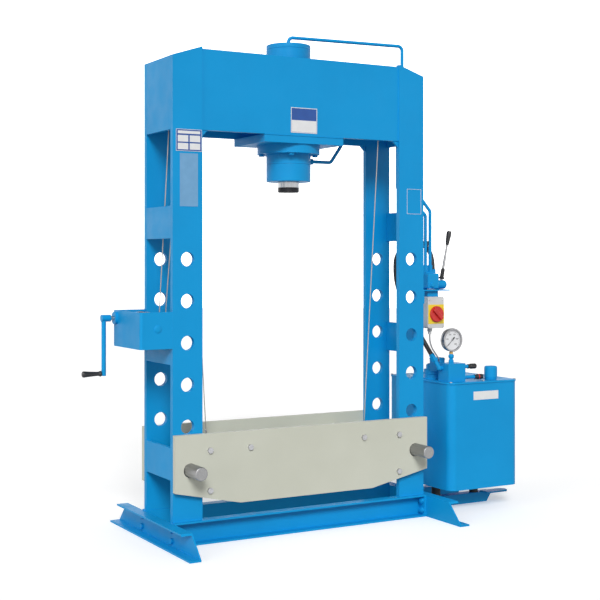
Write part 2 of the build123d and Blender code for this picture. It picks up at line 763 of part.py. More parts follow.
with BuildPart() as valve_body:
    box_between((valve_x[0], valve_y[0], valve_low_z), (valve_x[1], valve_y[1], valve_top_z))
    fillet(valve_body.edges().filter_by(Axis.Z), valve_round)
    fork_end_x = lever_x + fork_reach
    fork_top_z = valve_low_z + fork_h
    box_between((valve_x[1], lever_y - fork_out, valve_low_z), (fork_end_x, lever_y - fork_in, fork_top_z))
    box_between((valve_x[1], lever_y + fork_in, valve_low_z), (fork_end_x, lever_y + fork_out, fork_top_z))
    round_bar("y", lever_y - fork_out, lever_y + fork_out, lever_x, lever_pivot_z, lever_pin_d / 2)
save(valve_body.part, "control_valve")

with BuildPart() as lever:
    hub_half = fork_in - lever_gap
    round_bar("y", lever_y - hub_half, lever_y + hub_half, lever_x, lever_pivot_z, lever_hub_r)
    bore_r = lever_pin_d / 2 + run_clear
    round_bar("z", lever_pivot_z + lever_boot_r, lever_boot_z, lever_x, lever_y, lever_boot_r)
    round_bar("z", lever_boot_z, lever_knob_z[0], lever_x, lever_y, lever_rod_d / 2)
    with Locations((lever_x, lever_y, sum(lever_knob_z) / 2)):
        Cylinder(lever_knob_d / 2, lever_knob_z[1] - lever_knob_z[0])
    fillet(lever.edges().group_by(Axis.Z)[-1], lever_knob_round)
    round_bar("y", lever_y - fork_in, lever_y + fork_in, lever_x, lever_pivot_z, bore_r, mode=Mode.SUBTRACT)
lever_axis = Axis((lever_x, lever_y, lever_pivot_z), (0, 1, 0))
save(lever.part.rotate(lever_axis, lever_lean), "valve_lever")

# ==== switch ====
switch_low = (post_out_x + 29.0, -155.0, 896.0)
switch_high = (post_out_x + 124.0, -75.0, shelf_z - hanger_h)
plate_margin = 3.0
plate_t = 2.0
switch_x = (switch_low[0] + switch_high[0]) / 2
switch_z = 964.0
switch_plate_half = 46.0
knob_r = 39.0
knob_gap = 1.0
knob_depth = 24.0
knob_shaft_r = 6.0
knob_shaft_in = 25.0
knob_edge = 4.0
switch_round = 8.0

with BuildPart() as switch_box:
    box_between(switch_low, switch_high)
    fillet(switch_box.edges().filter_by(Axis.Y), switch_round)
    inner_low = tuple(v + plate_margin for v in switch_low)
    inner_high = tuple(v - plate_margin for v in switch_high)
    box_between(inner_low, inner_high, mode=Mode.SUBTRACT)
    shaft_r = knob_shaft_r + run_clear
    low_y = switch_low[1]
    round_bar("y", low_y - 1, low_y + 2 * plate_margin, switch_x, switch_z, shaft_r, mode=Mode.SUBTRACT)
save(switch_box.part, "switch_box")

with BuildPart() as switch_plate:
    box_between(
        (switch_x - switch_plate_half, low_y - plate_t, switch_z - switch_plate_half),
        (switch_x + switch_plate_half, low_y, switch_z + switch_plate_half),
    )
    round_bar("y", low_y - plate_t, low_y, switch_x, switch_z, shaft_r, mode=Mode.SUBTRACT)
save(switch_plate.part, "switch_plate")

with BuildPart() as switch_knob:
    face_y = low_y - plate_t - knob_gap
    round_bar("y", face_y - knob_depth, face_y, switch_x, switch_z, knob_r)
    chamfer(switch_knob.edges().group_by(Axis.Y)[0], knob_edge)
    round_bar("y", face_y, low_y + knob_shaft_in, switch_x, switch_z, knob_shaft_r)
save(switch_knob.part, "switch_knob")

gland_x = post_out_x + 64.0
gland_y = -120.0
gland_across = 22.0
gland_nut_h = 16.0
gland_len = 30.0
gland_r = 8.0
with BuildPart() as cable_gland:
    nut_low_z = switch_low[2] - gland_nut_h
    hex_bar("z", switch_low[2], nut_low_z, gland_x, gland_y, gland_across)
    round_bar("z", switch_low[2] - gland_len, nut_low_z, gland_x, gland_y, gland_r)
save(cable_gland.part, "cable_gland")

# ==== power unit: tank ====
tank_low = (post_out_x + 125.0, -205.0, 110.0)
tank_high = (post_out_x + 543.0, 330.0, 622.0)
tank_wall = 4.0
tank_round = 40.0
lid_t = 10.0
lid_over = 4.0
support_h = 50.0
support_w = 50.0
support_t = 6.0
support_y = (-29.0, 210.0)  # front faces of the two floor channels
support_end_x = post_out_x + 516.0
support_slant = 32.0
lid_top_z = tank_high[2] + lid_t

with BuildPart() as tank:
    box_between(tank_low, tank_high)
    fillet(tank.edges().filter_by(Axis.Z), tank_round)
    hollow_low = tuple(v + tank_wall for v in tank_low)
    with BuildPart(mode=Mode.SUBTRACT) as hollow:
        box_between(hollow_low, (tank_high[0] - tank_wall, tank_high[1] - tank_wall, tank_high[2]))
        fillet(hollow.edges().filter_by(Axis.Z), tank_round - tank_wall)
save(tank.part, "tank")

with BuildPart() as tank_lid:
    lid_low = (tank_low[0] - lid_over, tank_low[1] - lid_over, tank_high[2])
    box_between(lid_low, (tank_high[0] + lid_over, tank_high[1] + lid_over, lid_top_z))
    fillet(tank_lid.edges().filter_by(Axis.Z), tank_round + lid_over)
save(tank_lid.part, "tank_lid")

foot_tip_x = post_out_x + foot_flange
with BuildPart() as tank_supports:
    for y in support_y:
        with BuildSketch(Plane.YZ.offset(foot_tip_x)):
            with BuildLine():
                tip = y + support_w
                outline = channel_outline(y, tip, support_h, support_t, support_t)
                Polyline(*outline, close=True)
            make_face()
        extrude(amount=support_end_x - foot_tip_x)
    with BuildSketch(Plane.XZ):
        with BuildLine():
            Polyline(
                (support_end_x, 0),
                (support_end_x, support_h),
                (support_end_x - support_slant, 0),
                close=True,
            )
        make_face()
    extrude(amount=tank_high[1], both=True, mode=Mode.SUBTRACT)

lug_t = 8.0
lug_end_x = support_end_x + 70.0
lug_w = 60.0
lug_y = support_y[0] - 22
with BuildPart() as anchor_lug:
    lug_low = (support_end_x - 70, lug_y - lug_w / 2, support_h)
    box_between(lug_low, (lug_end_x, lug_y + lug_w / 2, support_h + lug_t))
    fillet(anchor_lug.edges().filter_by(Axis.Z).group_by(Axis.X)[-1], lug_w / 2 - 4)
save(Compound(children=[*tank_supports.part.solids(), anchor_lug.part]), "tank_supports")

pad_r = 22.0
pad_in_left = 60.0
pad_in_right = 125.0
with BuildPart() as tank_pads:
    for y in support_y:
        for x in (tank_low[0] + pad_in_left, tank_high[0] - pad_in_right):
            round_bar("z", support_h, tank_low[2], x, y + support_w / 2, pad_r)
save(tank_pads.part, "tank_pads")

# ==== power unit: pump, manifold, gauge ====
pump_x = tank_low[0] + 73.0
pump_y = 20.0
pump_r = 60.0
pump_h = 50.0
pump_foot_half = 22.0
pump_foot_h = 45.0
motor_r = 46.0
motor_h = 26.0
terminal_low = (tank_low[0] + 23.0, -62.0, lid_top_z + 42.0)
terminal_high = (pump_x, 0.0, lid_top_z + 111.0)
terminal_gland_root = (tank_low[0] + 36.66, -60.0, lid_top_z + 89.23)
terminal_gland_tip = (tank_low[0] + 25.0, -77.0, lid_top_z + 97.0)
terminal_gland_r = 6.0
block_low = (tank_low[0] + 21.0, -165.0, lid_top_z)
block_high = (tank_low[0] + 123.0, -75.0, 720.0)
knob_seat = {"relief_knob": (-140.0, 702.0), "shutoff_knob": (-150.0, 650.0)}  # Y and Z
stub_r = 9.0
stub_len = {"relief_knob": 28.0, "shutoff_knob": 62.0}
knob_stem_r = 4.0
knob_stem_len = 15.0
valve_knob_r = 13.0
valve_knob_len = 50.0
gauge_x = tank_low[0] + 49.0
gauge_y = -145.0
gauge_z = 836.0
gauge_r = 57.0
gauge_depth = 32.0
gauge_wall = 5.0
gauge_front_y = -163.0
gauge_nut_across = 24.0
gauge_nut_h = 14.0
gauge_neck_r = 9.0
gauge_neck_h = 10.0
gauge_stem_r = 7.0
needle_len = 40.0
needle_tail = 14.0
filler_x = tank_low[0] + 288.0
filler_y = -150.0
filler_r = 32.0
filler_h = 68.0

with BuildPart() as pump:
    round_bar("z", lid_top_z, lid_top_z + pump_h, pump_x, pump_y, pump_r)
    round_bar("z", lid_top_z + pump_h, lid_top_z + pump_h + motor_h, pump_x, pump_y, motor_r)
    foot_low = (pump_x - pump_foot_half, terminal_low[1], lid_top_z)
    box_between(foot_low, (pump_x + pump_foot_half, pump_y, lid_top_z + pump_foot_h))
    box_between(terminal_low, terminal_high)
    gland_run = Vector(*terminal_gland_root) - Vector(*terminal_gland_tip)
    with BuildSketch(Plane(origin=terminal_gland_tip, z_dir=gland_run.normalized())):
        Circle(terminal_gland_r)
    extrude(amount=gland_run.length)
save(pump.part, "pump_body")

with BuildPart() as manifold:
    box_between(block_low, block_high)
    chamfer(manifold.edges().filter_by(Axis.Z), 3)
    for name, (y, z) in knob_seat.items():
        stub_end = block_high[0] + stub_len[name]
        round_bar("x", block_high[0], stub_end, y, z, stub_r)
        bore_r = knob_stem_r + run_clear
        round_bar("x", stub_end - knob_stem_len - 1, stub_end, y, z, bore_r, mode=Mode.SUBTRACT)
    neck_low_z = block_high[2] + gauge_nut_h
    neck_high_z = neck_low_z + gauge_neck_h
    hex_bar("z", block_high[2], neck_low_z, gauge_x, gauge_y, gauge_nut_across)
    round_bar("z", neck_low_z, neck_high_z, gauge_x, gauge_y, gauge_neck_r)
save(manifold.part, "manifold_block")

for name, (y, z) in knob_seat.items():
    stub_end = block_high[0] + stub_len[name]
    first = stub_end + seat_gap
    with BuildPart() as knob:
        round_bar("x", first, first + valve_knob_len, y, z, valve_knob_r)
        chamfer(knob.edges().group_by(Axis.X)[-1], 2)
        round_bar("x", stub_end - knob_stem_len, first, y, z, knob_stem_r)
    save(knob.part, name)

with BuildPart() as gauge_case:
    round_bar("y", gauge_front_y, gauge_front_y + gauge_depth, gauge_x, gauge_z, gauge_r)
    bowl_r = gauge_r - gauge_wall
    bowl_back_y = gauge_front_y + gauge_depth - gauge_wall
    round_bar("y", gauge_front_y - 1, bowl_back_y, gauge_x, gauge_z, bowl_r, mode=Mode.SUBTRACT)
    round_bar("z", neck_high_z, gauge_z - bowl_r, gauge_x, gauge_y, gauge_stem_r)
save(gauge_case.part, "gauge_case")

dial_y = gauge_front_y + 10
with BuildPart() as gauge_dial:
    round_bar("y", dial_y, bowl_back_y, gauge_x, gauge_z, bowl_r)
    round_bar("y", dial_y - 5, dial_y, gauge_x, gauge_z, 2)
save(gauge_dial.part, "gauge_dial")

needle_angle = 225.0  # where the needle rests, from +X towards +Z
with BuildPart() as needle:
    with BuildSketch(Plane((gauge_x, dial_y - 2, gauge_z), x_dir=(1, 0, 0), z_dir=(0, -1, 0))):
        with BuildLine(Location((0, 0, 0), (0, 0, needle_angle))):
            Polyline(
                (-needle_tail, -2.5),
                (0, -2.0),
                (needle_len, -0.4),
                (needle_len, 0.4),
                (0, 2.0),
                (-needle_tail, 2.5),
                close=True,
            )
        make_face()
        Circle(5)
        Circle(2 + run_clear, mode=Mode.SUBTRACT)
    extrude(amount=1)
save(needle.part, "gauge_needle")

with BuildPart() as filler_cap:
    round_bar("z", lid_top_z + seat_gap, lid_top_z + filler_h, filler_x, filler_y, filler_r)
    chamfer(filler_cap.edges().group_by(Axis.Z)[-1], 3)
save(filler_cap.part, "filler_cap")

# ==== hose and cable ====
elbow = (tank_low[0] + 5.0, -108.0, 697.0)
hose_start = (tank_low[0] - 25.0, -82.0, 765.0)
hose_d = 22.0
ferrule_r = 15.5
elbow_r = 13.0
hose_tube_r = 11.0
hose_end = (post_out_x + 114.0, -75.0, valve_top_z + 20)
hose_route = [
    hose_start,
    (post_out_x + 67.0, -53.4, 839.8),
    (post_out_x + 38.0, -12.0, 925.0),
    (post_out_x + 26.0, 38.0, 1010.0),
    (post_out_x + 23.0, 100.0, 1090.0),
    (post_out_x + 25.0, 121.0, 1170.0),
    (post_out_x + 30.0, 120.0, 1251.0),
    (post_out_x + 54.6, 60.2, 1308.0),
    (post_out_x + 89.5, -23.2, 1308.0),
    (post_out_x + 114.0, -75.0, 1251.0),
    hose_end,
]
cable_d = 7.0
cable_route = [
    (gland_x, gland_y, switch_low[2] - gland_len),
    (gland_x, gland_y, 842.0),
    (post_out_x + 70.0, -118.0, 817.0),
    (post_out_x + 83.0, -115.0, 794.0),
    (post_out_x + 102.0, -111.5, 773.0),
    (post_out_x + 121.0, -106.0, 753.0),
    (post_out_x + 138.0, -94.5, 737.0),
    terminal_gland_tip,
]


def soft_radii(points):
    """The largest arc that each corner's two runs leave room for."""
    radii = []
    for before, here, after in zip(points, points[1:], points[2:]):
        run_in = Vector(*here) - Vector(*before)
        run_out = Vector(*after) - Vector(*here)
        half_turn = math.radians(run_in.get_angle(run_out)) / 2
        radii.append(0.45 * min(run_in.length, run_out.length) / math.tan(half_turn))
    return radii


for name, route, diameter in (("hydraulic_hose", hose_route, hose_d), ("switch_cable", cable_route, cable_d)):
    radii = soft_radii(route)
    tube = make_pipe(route, diameter, radii)
    section = math.pi * diameter**2 / 4
    print(name, "radii", [round(r) for r in radii], "length", round(tube.volume / section, 1))
    save(tube, name)

with BuildPart() as hose_fittings:
    round_bar("x", elbow[0], block_low[0], elbow[1], elbow[2], hose_tube_r)
    with Locations(elbow):
        Sphere(elbow_r)
    run = Vector(*hose_start) - Vector(*elbow)
    with BuildSketch(Plane(origin=elbow, z_dir=run.normalized())):
        Circle(hose_tube_r)
    extrude(amount=run.length / 2)
    with BuildSketch(Plane(origin=Vector(*elbow) + run * 0.5, z_dir=run.normalized())):
        RegularPolygon(ferrule_r, 6)
    extrude(amount=run.length / 2)
    hex_bar("z", valve_top_z, hose_end[2], hose_end[0], hose_end[1], 2 * ferrule_r - 3)
save(hose_fittings.part, "hose_fittings")
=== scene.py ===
import json
import math
import bpy
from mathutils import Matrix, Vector


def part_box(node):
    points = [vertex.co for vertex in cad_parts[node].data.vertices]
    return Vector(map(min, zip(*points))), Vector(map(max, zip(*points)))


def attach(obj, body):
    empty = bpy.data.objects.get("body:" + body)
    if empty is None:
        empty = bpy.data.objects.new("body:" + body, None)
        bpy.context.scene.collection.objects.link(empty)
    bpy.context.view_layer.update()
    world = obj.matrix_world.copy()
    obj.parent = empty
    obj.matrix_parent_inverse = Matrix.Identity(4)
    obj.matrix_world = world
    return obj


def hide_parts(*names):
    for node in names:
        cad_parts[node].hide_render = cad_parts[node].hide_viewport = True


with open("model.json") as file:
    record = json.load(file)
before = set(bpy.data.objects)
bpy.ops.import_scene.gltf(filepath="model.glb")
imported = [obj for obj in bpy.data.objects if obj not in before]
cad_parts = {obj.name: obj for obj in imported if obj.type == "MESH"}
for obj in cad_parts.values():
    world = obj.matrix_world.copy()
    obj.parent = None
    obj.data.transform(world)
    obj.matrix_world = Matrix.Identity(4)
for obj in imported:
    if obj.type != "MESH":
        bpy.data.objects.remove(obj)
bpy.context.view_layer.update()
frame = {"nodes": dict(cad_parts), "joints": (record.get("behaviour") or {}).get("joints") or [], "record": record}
cadNodes = frame["nodes"]
bodyOf = {node: body for body, members in frame["record"]["behaviour"]["bodies"].items() for node in members}
slotOf = {entry["node"]: entry["material_slot"] for entry in frame["record"]["subparts"]}
mm = 0.001
jointAt = {
    joint["child"]: [round(value / mm, 2) for value in joint["pos_m"]]
    for joint in frame["joints"] if "pos_m" in joint
}


def boxOf(node):
    # lowest and highest corner of a CAD node, in millimetres
    return [[round(value / mm, 2) for value in corner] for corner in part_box(node)]


print("frame loaded")

# camera: standing a little left of the press, at chest height
cameraLook = {
    "place": (-2.731, -4.936, 1.229), "turnDeg": -29.5, "lens": 72.9, "sensor": 36.0, "shift": -0.068,
}
cameraData = bpy.data.cameras.new("pressCamera")
cameraData.lens = cameraLook["lens"]
cameraData.sensor_width = cameraLook["sensor"]
cameraData.shift_y = cameraLook["shift"]
camera = bpy.data.objects.new("pressCamera", cameraData)
camera.location = cameraLook["place"]
camera.rotation_euler = (math.pi / 2, 0, math.radians(cameraLook["turnDeg"]))
bpy.context.scene.collection.objects.link(camera)
bpy.context.scene.camera = camera
print("camera set")


# materials
def startMaterial(name, colour, metallic, roughness):
    material = bpy.data.materials.new(name)
    material.use_nodes = True
    shader = material.node_tree.nodes["Principled BSDF"]
    shader.inputs["Base Color"].default_value = (*colour, 1)
    shader.inputs["Metallic"].default_value = metallic
    shader.inputs["Roughness"].default_value = roughness
    return material, shader


def addNoise(material, scale, detail=3.0, stretch=(1, 1, 1)):
    tree = material.node_tree
    place = tree.nodes.new("ShaderNodeTexCoord")
    mapping = tree.nodes.new("ShaderNodeMapping")
    mapping.inputs["Scale"].default_value = stretch
    noise = tree.nodes.new("ShaderNodeTexNoise")
    noise.inputs["Scale"].default_value = scale
    noise.inputs["Detail"].default_value = detail
    tree.links.new(place.outputs["Object"], mapping.inputs["Vector"])
    tree.links.new(mapping.outputs["Vector"], noise.inputs["Vector"])
    return noise


def varyColour(material, shader, noise, first, second, low=0.35, high=0.65):
    tree = material.node_tree
    ramp = tree.nodes.new("ShaderNodeValToRGB")
    ramp.color_ramp.elements[0].position = low
    ramp.color_ramp.elements[1].position = high
    ramp.color_ramp.elements[0].color = (*first, 1)
    ramp.color_ramp.elements[1].color = (*second, 1)
    tree.links.new(noise.outputs["Fac"], ramp.inputs["Fac"])
    tree.links.new(ramp.outputs["Color"], shader.inputs["Base Color"])


def varyRoughness(material, shader, noise, low, high):
    tree = material.node_tree
    spread = tree.nodes.new("ShaderNodeMapRange")
    spread.inputs["From Min"].default_value = 0.3
    spread.inputs["From Max"].default_value = 0.7
    spread.inputs["To Min"].default_value = low
    spread.inputs["To Max"].default_value = high
    tree.links.new(noise.outputs["Fac"], spread.inputs["Value"])
    tree.links.new(spread.outputs["Result"], shader.inputs["Roughness"])


def addBump(material, shader, noise, strength, depth):
    tree = material.node_tree
    bump = tree.nodes.new("ShaderNodeBump")
    bump.inputs["Strength"].default_value = strength
    bump.inputs["Distance"].default_value = depth
    tree.links.new(noise.outputs["Fac"], bump.inputs["Height"])
    tree.links.new(bump.outputs["Normal"], shader.inputs["Normal"])


def paintMaterial(name, colour, darker, roughness, gloss):
    material, shader = startMaterial(name, colour, 0.0, roughness)
    varyColour(material, shader, addNoise(material, 3.0, 5.0), darker, colour)
    varyRoughness(material, shader, addNoise(material, 14.0, 4.0), roughness - 0.05, roughness + 0.09)
    addBump(material, shader, addNoise(material, 420.0, 2.0), 0.12, 0.0004)
    shader.inputs["Specular IOR Level"].default_value = gloss
    return material


def metalMaterial(name, colour, darker, roughness, grain, stretch):
    material, shader = startMaterial(name, colour, 1.0, roughness)
    streaks = addNoise(material, grain, 4.0, stretch)
    varyColour(material, shader, streaks, darker, colour, 0.3, 0.7)
    varyRoughness(material, shader, streaks, roughness - 0.06, roughness + 0.1)
    addBump(material, shader, streaks, 0.15, 0.0002)
    return material


def plainMaterial(name, colour, darker, roughness, grain, depth):
    material, shader = startMaterial(name, colour, 0.0, roughness)
    varyColour(material, shader, addNoise(material, 30.0, 4.0), darker, colour)
    varyRoughness(material, shader, addNoise(material, 60.0, 3.0), roughness - 0.05, roughness + 0.08)
    addBump(material, shader, addNoise(material, grain, 3.0), 0.3, depth)
    return material


finishes = {
    "blue_paint": paintMaterial("bluePaint", (0.004, 0.312, 0.68), (0.003, 0.288, 0.635), 0.42, 0.14),
    "cream_paint": paintMaterial("creamPaint", (0.60, 0.612, 0.525), (0.565, 0.577, 0.49), 0.46, 0.2),
    "pin_steel": metalMaterial("pinSteel", (0.36, 0.36, 0.36), (0.27, 0.27, 0.275), 0.45, 90.0, (3, 0.2, 3)),
    "zinc": metalMaterial("zincPlate", (0.52, 0.52, 0.53), (0.42, 0.42, 0.44), 0.38, 160.0, (1, 1, 1)),
    "chrome": metalMaterial("chromePlate", (0.40, 0.41, 0.42), (0.33, 0.34, 0.35), 0.14, 120.0, (1, 1, 0.1)),
    "black_steel": metalMaterial(
        "blackenedSteel", (0.035, 0.036, 0.04), (0.02, 0.02, 0.022), 0.42, 140.0, (1, 1, 1),
    ),
    "machined": metalMaterial(
        "machinedSteel", (0.55, 0.55, 0.56), (0.46, 0.46, 0.47), 0.33, 200.0, (1, 0.2, 1),
    ),
    "bronze": metalMaterial("bushBronze", (0.55, 0.36, 0.14), (0.45, 0.28, 0.10), 0.35, 200.0, (1, 0.2, 1)),
    "rope_wire": metalMaterial("ropeWire", (0.46, 0.45, 0.42), (0.34, 0.33, 0.31), 0.5, 500.0, (1, 1, 1)),
    "seal_rubber": plainMaterial(
        "sealRubber", (0.018, 0.018, 0.018), (0.012, 0.012, 0.012), 0.7, 900.0, 0.0002,
    ),
    "hose_rubber": plainMaterial(
        "hoseRubber", (0.02, 0.021, 0.024), (0.012, 0.012, 0.014), 0.5, 700.0, 0.0003,
    ),
    "black_plastic": plainMaterial(
        "blackPlastic", (0.016, 0.016, 0.018), (0.010, 0.010, 0.011), 0.38, 800.0, 0.0002,
    ),
    "grey_plastic": plainMaterial("greyPlastic", (0.62, 0.63, 0.63), (0.57, 0.58, 0.58), 0.45, 900.0, 0.0001),
    "yellow_plastic": plainMaterial(
        "yellowPlastic", (0.86, 0.64, 0.02), (0.80, 0.58, 0.015), 0.36, 900.0, 0.0001,
    ),
    "red_plastic": plainMaterial(
        "redPlastic", (0.62, 0.018, 0.014), (0.50, 0.012, 0.010), 0.32, 900.0, 0.0001,
    ),
    "cable_grey": plainMaterial("cableGrey", (0.36, 0.36, 0.37), (0.30, 0.30, 0.31), 0.55, 900.0, 0.0002),
    "dial_white": plainMaterial("dialWhite", (0.80, 0.81, 0.83), (0.77, 0.78, 0.80), 0.5, 900.0, 0.00005),
}
inkBlack = plainMaterial("dialInk", (0.01, 0.01, 0.012), (0.02, 0.02, 0.022), 0.5, 900.0, 0.00002)
plateWhite = plainMaterial("plateWhite", (0.76, 0.77, 0.78), (0.72, 0.73, 0.74), 0.35, 900.0, 0.00005)
plateSilver = plainMaterial("plateSilver", (0.15, 0.36, 0.60), (0.13, 0.33, 0.56), 0.4, 900.0, 0.00005)
plateNavy = plainMaterial("plateNavy", (0.008, 0.075, 0.33), (0.007, 0.066, 0.30), 0.4, 900.0, 0.00005)
print("materials made")


# helpers for modelling
def leaveEdit():
    if bpy.context.object and bpy.context.object.mode != "OBJECT":
        bpy.ops.object.mode_set(mode="OBJECT")


def deselectAll():
    leaveEdit()
    bpy.ops.object.select_all(action="DESELECT")


def makeActive(piece):
    deselectAll()
    piece.select_set(True)
    bpy.context.view_layer.objects.active = piece


def softenEdges(piece, width, segments=2, angle=35.0):
    makeActive(piece)
    if width > 0:
        bevel = piece.modifiers.new("softEdges", "BEVEL")
        bevel.width = width * mm
        bevel.segments = segments
        bevel.limit_method = "ANGLE"
        bevel.angle_limit = math.radians(angle)
        bpy.ops.object.modifier_apply(modifier=bevel.name)
    bpy.ops.object.shade_smooth_by_angle(angle=math.radians(angle))
    if width > 0:
        flatter = piece.modifiers.new("flatFaces", "WEIGHTED_NORMAL")
        flatter.keep_sharp = True
        bpy.ops.object.modifier_apply(modifier=flatter.name)


def coat(piece, finish):
    piece.data.materials.clear()
    piece.data.materials.append(finishes[finish] if isinstance(finish, str) else finish)


def settle(piece, name, body, finish, standsFor=()):
    makeActive(piece)
    bpy.ops.object.transform_apply(location=True, rotation=True, scale=True)
    piece.name = name
    piece.data.name = name
    coat(piece, finish)
    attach(piece, body)
    if standsFor:
        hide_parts(*standsFor)
    return piece


def turnAlong(piece, place, direction):
    piece.rotation_mode = "QUATERNION"
    piece.rotation_quaternion = Vector(direction).to_track_quat("Z", "Y")
    piece.location = Vector(place) * mm
    makeActive(piece)
    bpy.ops.object.transform_apply(location=True, rotation=True, scale=True)


# a closed round piece: a disc drawn out ring by ring along Z, then laid along its axis
def turned(profile, place, direction=(0, 0, 1), sides=48, edge=0.0, ring=False):
    deselectAll()
    firstR, firstH = profile[0]
    bpy.ops.mesh.primitive_circle_add(
        vertices=sides, radius=firstR * mm, fill_type="NOTHING" if ring else "NGON",
        location=(0, 0, firstH * mm),
    )
    piece = bpy.context.object
    bpy.ops.object.transform_apply(location=True, rotation=False, scale=False)
    bpy.ops.object.mode_set(mode="EDIT")
    bpy.ops.mesh.select_all(action="SELECT")
    for (lastR, lastH), (radius, height) in zip(profile, profile[1:]):
        bpy.ops.mesh.extrude_region_move(TRANSFORM_OT_translate={"value": (0, 0, (height - lastH) * mm)})
        if radius != lastR:
            grow = radius / lastR
            bpy.ops.transform.resize(value=(grow, grow, 1), center_override=(0, 0, height * mm))
    bpy.ops.mesh.select_all(action="SELECT")
    bpy.ops.mesh.remove_doubles(threshold=0.000002)
    bpy.ops.mesh.normals_make_consistent(inside=False)
    leaveEdit()
    turnAlong(piece, place, direction)
    softenEdges(piece, edge)
    return piece


def block(low, high, edge, segments=2):
    deselectAll()
    middle = [(a + b) / 2 * mm for a, b in zip(low, high)]
    bpy.ops.mesh.primitive_cube_add(size=1, location=middle)
    piece = bpy.context.object
    piece.scale = [(b - a) * mm for a, b in zip(low, high)]
    bpy.ops.object.transform_apply(location=True, rotation=False, scale=True)
    softenEdges(piece, edge, segments)
    return piece


def joined(pieces):
    deselectAll()
    for piece in pieces:
        piece.select_set(True)
    bpy.context.view_layer.objects.active = pieces[0]
    if len(pieces) > 1:
        bpy.ops.object.join()
    return bpy.context.object


def shifted(piece, dx, dy, dz):
    copy = piece.copy()
    copy.data = piece.data.copy()
    bpy.context.scene.collection.objects.link(copy)
    copy.location = (dx * mm, dy * mm, dz * mm)
    makeActive(copy)
    bpy.ops.object.transform_apply(location=True, rotation=False, scale=False)
    return copy


# a softened copy of a CAD node, which then stands for it
def dressed(node, width, finish=None, name=None, angle=35.0):
    source = cadNodes[node]
    piece = bpy.data.objects.new(name or node + "_shape", source.data.copy())
    bpy.context.scene.collection.objects.link(piece)
    makeActive(piece)
    bpy.ops.object.mode_set(mode="EDIT")
    bpy.ops.mesh.select_all(action="SELECT")
    bpy.ops.mesh.remove_doubles(threshold=0.00001)
    bpy.ops.mesh.dissolve_limited(angle_limit=math.radians(0.4), use_dissolve_boundaries=False)
    leaveEdit()
    if piece.data.has_custom_normals:
        bpy.ops.mesh.customdata_custom_splitnormals_clear()
    softenEdges(piece, width, 2, angle)
    return settle(piece, name or node + "_shape", bodyOf[node], finish or slotOf[node], (node,))


# cords: the pressure hose and the switch's cable
hoseLook = {
    "diameter": 22.0,
    "length": 0.859,
    "route": [
        (752.0, -82.0, 765.0),
        (719.0, -53.4, 839.8),
        (690.0, -12.0, 925.0),
        (678.0, 38.0, 1010.0),
        (675.0, 100.0, 1090.0),
        (677.0, 121.0, 1170.0),
        (682.0, 120.0, 1251.0),
        (706.6, 60.2, 1308.0),
        (741.5, -23.2, 1308.0),
        (766.0, -75.0, 1251.0),
        (766.0, -75.0, 1180.0),
    ],
}
cableLook = {
    "diameter": 7.0,
    "length": 0.18,
    "route": [
        (716.0, -120.0, 866.0),
        (716.0, -120.0, 842.0),
        (722.0, -118.0, 817.0),
        (735.0, -115.0, 794.0),
        (754.0, -111.5, 773.0),
        (773.0, -106.0, 753.0),
        (790.0, -94.5, 737.0),
        (802.0, -77.0, 729.0),
    ],
}


def cordCurve(name, look, finish, node):
    curve = bpy.data.curves.new(name, "CURVE")
    curve.dimensions = "3D"
    spline = curve.splines.new("NURBS")
    spline.points.add(len(look["route"]) - 1)
    for point, place in zip(spline.points, look["route"]):
        point.co = (place[0] * mm, place[1] * mm, place[2] * mm, 1)
    spline.order_u = 3
    spline.use_endpoint_u = True
    spline.resolution_u = 16
    curve.bevel_depth = look["diameter"] / 2 * mm
    curve.bevel_resolution = 8
    curve.use_fill_caps = True
    curve.materials.append(finishes[finish])
    piece = bpy.data.objects.new(name, curve)
    bpy.context.scene.collection.objects.link(piece)
    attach(piece, bodyOf[node])
    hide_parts(node)
    return piece


cordCurve("pressureHose", hoseLook, "hose_rubber", "hydraulic_hose")
cordCurve("switchCable", cableLook, "cable_grey", "switch_cable")
print("cords laid")

# plates and castings carried over with softened edges
edgeWidths = {
    "left_uprights": 2.0, "right_uprights": 2.0, "side_plates": 1.5, "head_plates": 1.8,
    "cylinder_mount_plate": 1.5, "base_beams": 1.8, "feet": 1.8, "bed_plates": 1.8,
    "cylinder_barrel": 1.5, "cylinder_end_cap": 3.0, "rod_gland": 2.5, "ram_rod": 0.8,
    "winch_housing": 0.8, "tank_supports": 1.2, "valve_bracket": 1.0,
    "switch_box": 5.0, "manifold_block": 1.2,
    "crank_arm": 0.8, "left_pin": 1.5, "right_pin": 1.5, "pipe_fittings": 1.0, "hose_fittings": 1.0,
    "winch_drum": 0.8, "bed_spacers": 0.6, "bed_bolts": 0.8, "base_bolts": 0.8,
    "left_front_pulley": 0.6, "left_rear_pulley": 0.6, "right_pulley": 0.6,
}
for node, width in edgeWidths.items():
    dressed(node, width)
dressed("flange_bolts", 0.8, finishes["blue_paint"])
plainNodes = (
    "oil_pipes", "pulley_axles", "winch_bushes", "worm_wheel", "crank_worm", "ram_piston", "ram_nose",
    "rod_seal", "piston_seal", "tank_pads", "cable_gland", "switch_plate",
)
for node in plainNodes:
    coat(cadNodes[node], slotOf[node])
print("plates dressed")

